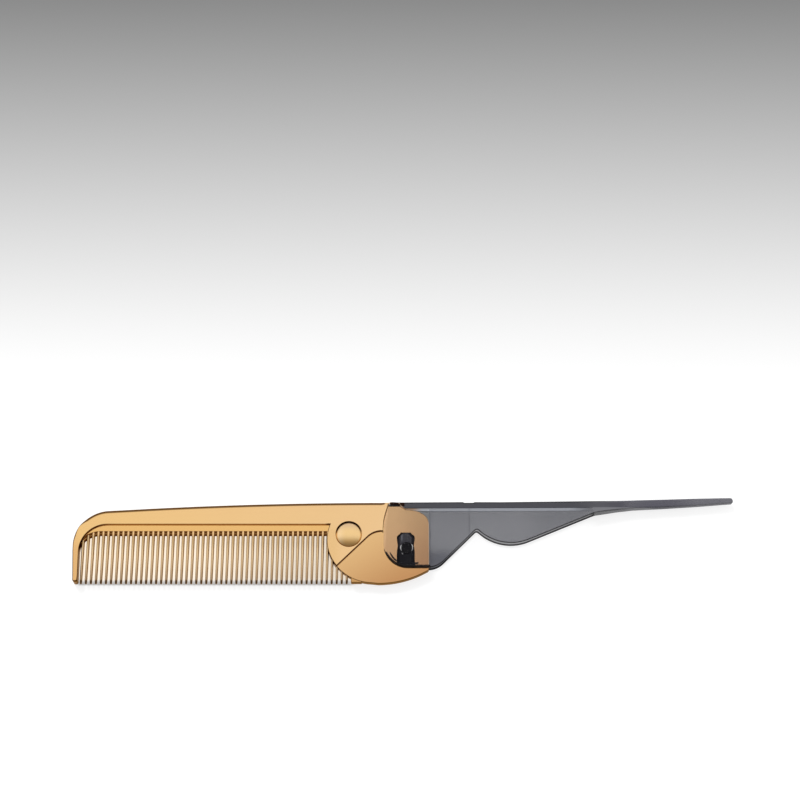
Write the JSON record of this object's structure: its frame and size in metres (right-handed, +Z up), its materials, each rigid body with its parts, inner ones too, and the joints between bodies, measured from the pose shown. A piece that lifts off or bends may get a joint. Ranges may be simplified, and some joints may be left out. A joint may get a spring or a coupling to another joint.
{
  "type": "folding tail comb",
  "caption": "Folding tail comb: gold chromed comb body with fine teeth, domed button and round hinge plate, in a translucent smoke grey channel handle with a pointed tail.",
  "frame": {"origin": "centre of the open comb's footprint, on the plane that its flat back lies on", "axes": "+X from the rounded nose to the tip of the tail, +Y from the tooth tips to the spine, +Z up from the rest plane through the thickness"},
  "size_m": [0.23, 0.0308, 0.0057],
  "materials": {
    "gold_chrome": "gold chromed plastic, bright",
    "satin_gold": "gold chromed dome, satin",
    "black_plastic": "black moulded plastic",
    "black_stud": "black moulded plastic, polished",
    "smoke_plastic": "smoke grey translucent plastic, glossy",
    "pin_steel": "plain turned pin"
  },
  "bodies": {
    "comb": {"comb_body": "gold_chrome", "domed_button": "satin_gold", "hinge_block": "black_plastic", "detent_stud": "black_stud"},
    "handle": {"handle": "smoke_plastic", "hinge_pin": "pin_steel"}
  },
  "joints": [
    {"name": "fold", "type": "hinge", "parent": "comb", "child": "handle", "pos_m": [0.0004, -0.0036, 0.0025], "axis": [0, 0, -1], "range_deg": [0, 180]}
  ]
}
